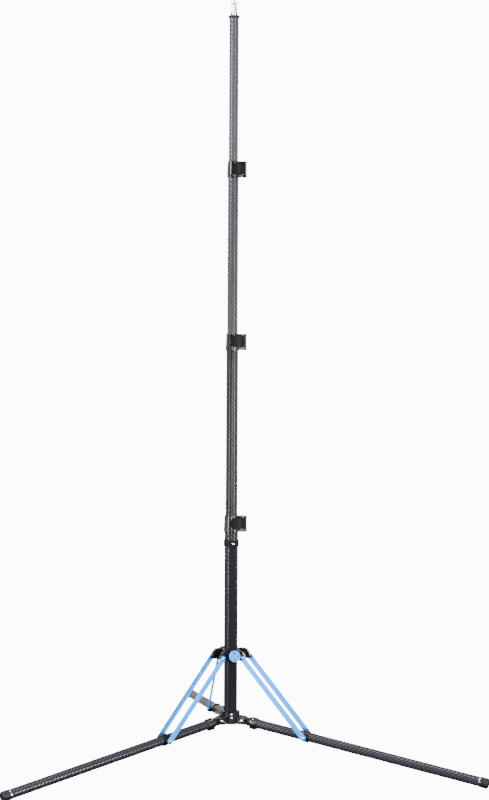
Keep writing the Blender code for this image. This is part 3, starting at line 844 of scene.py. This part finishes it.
def make_lever(place):
    """A band round the clamp, cut to a rounded outline seen from the front, on a barrel."""
    height = clamp_height(place)
    centre, outer, pin_at = clamp_sizes(TUBE_RADII[CLAMPS[place][1]])[:3]
    middle = (LEVER_LOW + LEVER_HIGH) / 2
    half = (LEVER_HIGH - LEVER_LOW) / 2
    start, end = -10, -110
    at = Matrix.Translation((0, 0, height + middle))
    band = [*arc(centre, outer, start, end, 48), *arc(centre, outer - LEVER_THICKNESS, end, start, 48)]
    lever = plate(f"{place}_lever_body", [band], 2 * half, at)

    # The outline lies in a plane that stands square to the view, and turns about its round end
    view = math.radians(-100)
    across = Vector((math.cos(view + math.pi / 2), math.sin(view + math.pi / 2)))
    far = Vector(arc(centre, outer, end, end, 1)[0]).dot(across)
    face = Matrix.Rotation(view + math.pi / 2, 4, "Z") @ STAND_UP
    slope = Matrix.Rotation(math.radians(LEVER_SLOPES[place]), 4, "Z")
    round_end = Matrix.Translation((far + half, 0, 0))
    outline_at = at @ face @ round_end @ slope @ round_end.inverted()
    stadium = [(0.05, half + 0.001), *arc((far + half, 0), half, 90, 270, 40), (0.05, -half - 0.001)]
    combine(lever, plate(f"{place}_lever_outline", [stadium], 0.12, outline_at), "INTERSECT")
    lever_frame = Matrix.Translation((*pin_at, height))
    join(lever, rod(f"{place}_barrel", BARREL_RADIUS, LEVER_LOW, LEVER_HIGH, lever_frame, 48))

    # A shallow thumb pad, sunk into the band's outer face
    pad_half = half - 0.0024
    pad_depth = 0.0009
    pad_end = far + 0.0245
    pad = [(pad_end, pad_half), *arc((far + 0.0026 + pad_half, 0), pad_half, 90, 270, 40),
           (pad_end, -pad_half), *arc((far + 0.0165, 0), pad_half + 0.0015, -48, 48, 16)]
    shell = plate(f"{place}_pad_cut", [pad], 0.06, outline_at @ Matrix.Translation((0, 0, 0.03)))
    wall = [(0.06, 0.02), (0.06, -0.02), (outer - pad_depth, -0.02), (outer - pad_depth, 0.02)]
    wall_at = Matrix.Translation((*centre, height + middle))
    combine(shell, turned(f"{place}_pad_wall", wall, wall_at), "INTERSECT")
    cut(lever, shell)
    cut(lever, rod(f"{place}_lever_bore", LEVER_PIN_RADIUS + GAP, -PAST, PAST, lever_frame, SMALL))
    bevel(lever, 0.0005, 3, 35)
    finish(lever, "black_grip", f"{place}_lever", "black_plastic", f"{place}_clamp_lever", sharp=30)


def make_lever_studs(place):
    height = clamp_height(place)
    pin_at = clamp_sizes(TUBE_RADII[CLAMPS[place][1]])[2]
    middle = (LEVER_LOW + LEVER_HIGH) / 2
    dome = [(0.0, 0.0008), (0.0009, 0.0007), (0.0014, 0.0003), (0.0014, 0.0), (0.0, 0.0)]
    for number in range(3):
        level = middle + (number - 1) * 0.0072 + 0.002
        at = Matrix.Translation((*pin_at, height + level))
        at = at @ radial_frame(-72, BARREL_RADIUS - 0.0003, 0) @ ALONG_X
        stud = turned(f"{place}_lever_rib_{number}", dome, at, 24, closed=False)
        finish(stud, "bright_steel", f"{place}_lever", "black_plastic")


# ---------------------------------------------------------------- slider, lock and braces

def lock_frame():
    """Local Z points out of the lock, from the column's axis."""
    return slider_frame(LOCK_AZIMUTH) @ Matrix.Translation((0, 0, BUTTON_RISE)) @ ALONG_X


def make_slider():
    at = slider_frame(0)
    radius, top, bottom, step = 0.0215, 0.0160, -0.0080, 0.0012
    slider = turned("slider_body", [
        (0.0, top), *arc((radius - step, top - step), step, 90, 0, 6),
        *arc((radius - step, bottom + step), step, 0, -90, 6), (0.0, bottom)], at, closed=False)
    cheek_half = 0.0065
    root = 0.0150
    cheek = [
        (root, -cheek_half), (SLIDER_PIVOT_RADIUS, -cheek_half),
        *arc((SLIDER_PIVOT_RADIUS, 0), cheek_half, -70, 10, 14),
        *arc((0.0250, -0.0015), 0.0190, 18, 84, 28), (root, 0.0174),
    ]
    thick = CHEEK_OUTER - CHEEK_INNER
    for leg in LEGS:
        for side in (-1, 1):
            middle = side * (CHEEK_INNER + CHEEK_OUTER) / 2
            place = slider_frame(AZIMUTHS[leg]) @ Matrix.Translation((0, middle, 0)) @ STAND_UP
            join(slider, plate(f"cheek_{leg}_{side}", [cheek], thick, place))
    lock = lock_frame()
    join(slider, rod("lock_boss", 0.0093, 0.0183, BUTTON_FACE - 0.0080, lock, 64))
    column = TUBE_RADII["column"]
    groove_half = RAIL_WIDTH / 2 + 0.0004
    cut(slider, rod("slider_bore", column + GAP, -PAST, PAST, at))
    cut(slider, box("slider_groove", (0.0, -groove_half, -PAST),
                    (column + RAIL_THICKNESS + 3 * GAP, groove_half, PAST), slider_frame(LOCK_AZIMUTH)))
    cut(slider, rod("stem_bore", 0.0028, 0.0, 0.06, lock, SMALL))
    cut(slider, rod("spring_bore", 0.0060, 0.026, 0.06, lock, 48))
    bevel(slider, 0.0006, 3, 35)
    finish(slider, "black_metal", "slider", "black_metal", "slider", sharp=32)


def make_button():
    lock = lock_frame()
    face, radius = BUTTON_FACE, BUTTON_RADIUS
    stem, stem_end = 0.0025, 0.0225
    outline = [
        (0.0, face - 0.0002), (radius - 0.0016, face - 0.0002), (radius - 0.0013, face),
        *arc((radius - 0.0008, face - 0.0008), 0.0008, 90, 0, 6),
        *arc((radius - 0.0006, face - 0.0039), 0.0006, 0, -90, 4),
        (stem, face - 0.0045), (stem, stem_end), (0.0, stem_end),
    ]
    button = turned("lock_button_skin", outline, lock, closed=False)
    for side in (-1, 1):
        hole_at = lock @ Matrix.Translation((side * BUTTON_HOLE_OUT, 0, face))
        cut(button, rod(f"button_hole_{side}", 0.0018, -0.0025, 0.002, hole_at, SMALL))
    finish(button, "blue_anodised", "button", "blue_anodised", "lock_button", sharp=30)
    # A near-black disc at the bottom of each hole: painted shade in the hole
    for side in (-1, 1):
        floor_at = lock @ Matrix.Translation((side * BUTTON_HOLE_OUT, 0, face - 0.0022))
        floor = rod(f"button_hole_shade_disc_{side}", 0.00175, -0.0002, 0.0, floor_at, 24)
        finish(floor, "dark_recess", "button", "blue_anodised")


def make_braces(leg):
    length = math.hypot(*brace_reach())
    at = brace_frame(leg)
    half = BRACE_HALF_WIDTH
    edge = [*arc((length, 0), half, -90, 90, 32), *arc((0, 0), half, 90, 270, 32)]
    holes = [circle((0, 0), PIVOT_BORE), circle((length, 0), PIVOT_BORE)]
    inner = CHEEK_OUTER + GAP
    outer = inner + BRACE_THICKNESS
    for number, side in ((1, -1), (2, 1)):
        lay = Matrix.Translation((0, side * (inner + outer) / 2, 0)) @ STAND_UP
        brace = plate(f"brace_{leg}_{number}_skin", [edge, *holes], BRACE_THICKNESS, at @ lay)
        bevel(brace, 0.00035, 3, 40)
        finish(brace, "blue_anodised", f"braces_{leg}", "blue_anodised", f"brace_{leg}_{number}")
        upper = at @ Matrix.Translation((0, side * (outer + GAP), 0)) @ facing(side)
        screw(f"slider_screw_{leg}_{number}_skin", upper, 0.0040, 0.0026, "slider",
              shank=outer + GAP - 0.0140, nodes=(f"slider_screw_{leg}_{number}",))
        lower = at @ Matrix.Translation((length, side * (outer + GAP), 0)) @ facing(side)
        screw(f"brace_screw_{leg}_{number}_skin", lower, 0.0040, 0.0036, f"braces_{leg}",
              shank=BRACE_THICKNESS + GAP, nodes=(f"brace_screw_{leg}_{number}",))


# ---------------------------------------------------------------- legs

def make_leg_tube(leg):
    body = f"leg_{leg}"
    tube = ring(f"{body}_tube_skin", LEG_RADIUS - TUBE_WALL, LEG_RADIUS,
                LEG_TUBE_START + GAP, LEG_LENGTH - 0.004, leg_frame(leg) @ ALONG_X)
    finish(tube, "carbon_leg", body, "carbon", f"{body}_tube")


def make_knuckle(leg):
    """A sleeve with one groove and a tapered root, on a lug that turns between the hub's ears."""
    at = leg_frame(leg)
    along = at @ ALONG_X
    body = f"leg_{leg}"
    radius = SLEEVE_RADIUS
    groove = radius - 0.0005
    profile = [
        (0.0, SLEEVE_END), (radius - 0.0008, SLEEVE_END), (radius - 0.0002, SLEEVE_END - 0.0005),
        (radius, SLEEVE_END - 0.0012), (radius, 0.0330), (groove, 0.0326), (groove, 0.0315),
        (radius, 0.0311), (radius, 0.0220), (radius - 0.0003, 0.0208), (0.0090, SLEEVE_START),
        (0.0, SLEEVE_START),
    ]
    knuckle = turned(f"{body}_knuckle_body", profile, along, closed=False)
    lug = [*arc((0, 0), EAR_RADIUS - 0.0004, 90, 270, 28), (0.0180, -0.0088), (0.0180, 0.0086)]
    join(knuckle, plate(f"{body}_lug", [lug], 2 * LUG_HALF, at @ STAND_UP))
    join(knuckle, box(f"{body}_step", (0.0200, -0.0070, -0.0142),
                      (SLEEVE_END - 0.0004, 0.0070, -0.006), at))
    cut(knuckle, rod(f"{body}_socket", LEG_RADIUS + GAP, LEG_TUBE_START, 0.06, along))
    cut(knuckle, rod(f"{body}_pin_bore", PIVOT_BORE, -0.01, 0.01, at @ ALONG_Y, SMALL))
    bevel(knuckle, 0.0006, 3, 35)
    finish(knuckle, "black_metal", body, "black_metal", f"{body}_knuckle", sharp=32)

    # A pair of small screws on the tapered root and a pair on the sleeve
    for number, (x, out, slope) in enumerate(((0.0180, 0.0096, -28), (0.0262, 0.0126, 0))):
        for side, letter in ((-1, "a"), (1, "b")):
            spot = at @ Matrix.Translation((x, 0, 0)) @ Matrix.Rotation(math.radians(-38 * side), 4, "X")
            spot = spot @ Matrix.Translation((0, 0, out)) @ Matrix.Rotation(math.radians(slope), 4, "Y")
            screw(f"{body}_knuckle_screw_{number}_{letter}", spot, 0.0017, 0.0010, body, rim=False)


def make_bracket(leg):
    body = f"leg_{leg}"
    at = leg_frame(leg) @ Matrix.Translation((BRACE_STATION, 0, 0))
    half, radius, step = BRACKET_HALF, 0.0134, 0.0008
    bracket = turned(f"{body}_bracket_body", [
        (0.0, half), *arc((radius - step, half - step), step, 90, 0, 5),
        *arc((radius - step, -half + step), step, 0, -90, 5), (0.0, -half)], at @ ALONG_X, closed=False)
    boss_middle = 0.0160
    reach = CHEEK_OUTER - boss_middle
    for side in (-1, 1):
        boss_at = at @ Matrix.Translation((0, side * boss_middle, 0)) @ ALONG_Y
        join(bracket, rod(f"{body}_boss_{side}", 0.0070, -reach, reach, boss_at, 64))
    cut(bracket, rod(f"{body}_bracket_bore", LEG_RADIUS + GAP, -0.02, 0.02, at @ ALONG_X))
    bevel(bracket, 0.0006, 3, 40)
    finish(bracket, "black_plastic", body, "black_plastic", f"{body}_bracket", sharp=32)


def make_foot(leg):
    """A rubber cap with a shallow groove round it, and a bright ring above it."""
    body = f"leg_{leg}"
    along = leg_frame(leg) @ ALONG_X
    end = LEG_LENGTH
    bore = LEG_RADIUS + GAP
    outer = bore + FOOT_WALL
    groove = outer - 0.0003
    start = end - FOOT_LENGTH
    foot = [
        (0.0, end), (0.0076, end), *arc((0.0076, end - 0.0042), 0.0042, 80, 10, 10),
        (outer, end - 0.0050), (outer, end - 0.0120), (groove, end - 0.0123), (groove, end - 0.0128),
        (outer, end - 0.0131), (outer, start + 0.0004), (outer - 0.0004, start), (bore, start),
        (bore, end - 0.0036), (0.0, end - 0.0036),
    ]
    cap = turned(f"{body}_foot_skin", foot, along, closed=False)
    finish(cap, "rubber", body, "rubber", f"{body}_foot")
    band_end = start - 0.0002
    band = ring(f"{body}_foot_ring", LEG_RADIUS + 0.0001, outer - 0.0001,
                band_end - 0.0022, band_end, along)
    bevel(band, 0.0003, 2)
    finish(band, "bright_steel", body, "bright_steel")


# ---------------------------------------------------------------- CAD nodes that stay in view

def finish_cad_nodes():
    looks = {"button_spring": "bright_steel"}
    for number in (1, 2, 3):
        looks[f"section_{number}_guide"] = "nylon"
    for node, look in looks.items():
        for material_slot in frame["nodes"][node].material_slots:
            material_slot.material = MATERIALS[look]


# ---------------------------------------------------------------- studio

def make_world():
    """White to the camera. What the object reflects is darker towards the camera's side."""
    camera_white = 12.0
    world = bpy.data.worlds.new("studio")
    bpy.context.scene.world = world
    world.use_nodes = True
    graph = Graph(world.node_tree)
    background = world.node_tree.nodes["Background"]
    ray = graph.node("ShaderNodeLightPath").outputs["Is Camera Ray"]
    split = graph.node("ShaderNodeSeparateXYZ")
    graph.link(graph.node("ShaderNodeTexCoord").outputs["Generated"], split.inputs[0])
    depth = graph.ramp(split.outputs[1], 0.06, 0.95, 0.72, 0.94)
    ceiling = graph.ramp(split.outputs[2], 0.0, 0.50, 0.25, 0.9)
    room = graph.mix(1.0, depth, ceiling, "ADD")
    graph.link(graph.mix(ray, room, (1.0, 1.0, 1.0)), background.inputs["Color"])
    graph.link(graph.math("MULTIPLY_ADD", ray, camera_white - 1.0, 1.0), background.inputs["Strength"])


def area_light(name, place, target, size, power):
    light = bpy.data.lights.new(name, "AREA")
    light.shape = "RECTANGLE"
    light.size, light.size_y = size
    light.energy = power
    obj = bpy.data.objects.new(name, light)
    LOOKS.objects.link(obj)
    obj.location = place
    obj.rotation_euler = (Vector(target) - Vector(place)).to_track_quat("-Z", "Y").to_euler()


def make_lights():
    middle = (0, 0, 0.75)
    near_ground = (0, 0, 0.1)
    area_light("soft_box_left", (-2.5, -1.95, 2.2), (0, 0, 1.3), (0.75, 2.0), 268)
    area_light("soft_box_right", (1.78, -2.54, 1.6), (0, 0, 1.0), (0.42, 2.5), 118)
    area_light("low_left", (-2.3, -1.9, 0.2), near_ground, (0.8, 0.9), 84)
    area_light("low_right", (2.6, -1.9, 0.3), near_ground, (0.9, 0.9), 118)
    area_light("back_left", (-2.0, 2.8, 1.3), middle, (0.8, 2.0), 70)
    area_light("back_right", (2.3, 2.5, 1.1), middle, (0.8, 2.0), 70)
    area_light("side_left", (-3.0, 0.3, 0.9), (0, 0, 0.7), (0.9, 2.2), 38)
    area_light("side_right", (3.0, 0.3, 0.9), (0, 0, 0.7), (0.9, 2.2), 45)
    area_light("top_light", (0.2, -0.6, 3.4), (0, 0, 0), (2.0, 2.0), 110)
    area_light("low_fill", (0.3, -3.4, 0.35), (0, 0, 0.05), (1.2, 0.6), 80)


def make_camera():
    distance = 4.517
    height_above_hinges = 1.1212
    camera = bpy.data.cameras.new("camera")
    obj = bpy.data.objects.new("camera", camera)
    LOOKS.objects.link(obj)
    yaw, pitch, roll = (math.radians(angle) for angle in (1.19, -4.27, 0.22))
    level = math.cos(pitch)
    forward = Vector((-math.sin(yaw) * level, math.cos(yaw) * level, math.sin(pitch)))
    right = Vector((math.cos(yaw), math.sin(yaw), 0))
    rolled_right = right * math.cos(roll) + right.cross(forward) * math.sin(roll)
    rolled_up = rolled_right.cross(forward)
    rotation = Matrix((rolled_right, rolled_up, -forward)).transposed()
    place = Matrix.Translation((0, -distance, PIVOT_Z + height_above_hinges))
    obj.matrix_world = place @ rotation.to_4x4()
    camera.lens = 86.36
    camera.shift_x = 0.0652
    camera.shift_y = -0.0109
    bpy.context.scene.camera = obj


make_hub()
make_hub_pins()
make_column()
make_rail()
make_rail_collar()
make_sections()
make_top_ring()
make_spigot()
for clamp in CLAMPS:
    make_clamp_collar(clamp)
    make_clamp_fasteners(clamp)
    make_lever(clamp)
    make_lever_studs(clamp)
make_slider()
make_button()
for leg_name in LEGS:
    make_braces(leg_name)
    make_leg_tube(leg_name)
    make_knuckle(leg_name)
    make_bracket(leg_name)
    make_foot(leg_name)
finish_cad_nodes()
make_world()
make_lights()
make_camera()
